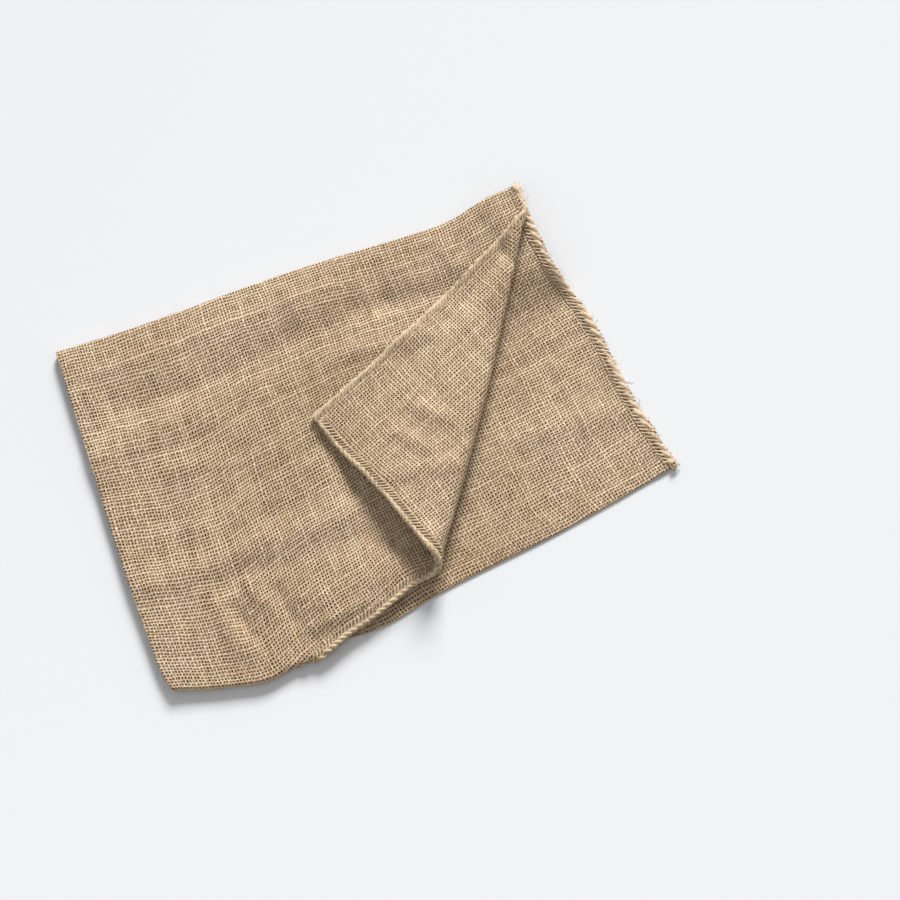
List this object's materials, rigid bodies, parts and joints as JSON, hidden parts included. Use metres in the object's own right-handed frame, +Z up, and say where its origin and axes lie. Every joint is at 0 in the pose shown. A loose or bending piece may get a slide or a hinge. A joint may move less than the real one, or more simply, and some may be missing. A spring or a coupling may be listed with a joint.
{
  "type": "jute sack",
  "caption": "Empty open-weave jute sack lying folded in half, with the overlocked corner of its mouth turned back over it.",
  "frame": {"origin": "on the surface that the sack lies on, under the middle of its outline", "axes": "+X along the fold that halves the sack, from the plain side to the seam; +Y from the mouth to that fold; +Z up"},
  "size_m": [0.409, 0.2969, 0.0287],
  "materials": {
    "hessian": "matte open plain weave",
    "overlock": "matte jute yarn"
  },
  "bodies": {
    "root": {"sack_cloth": "hessian", "side_seam": "overlock", "mouth_edge": "overlock"}
  },
  "joints": []
}
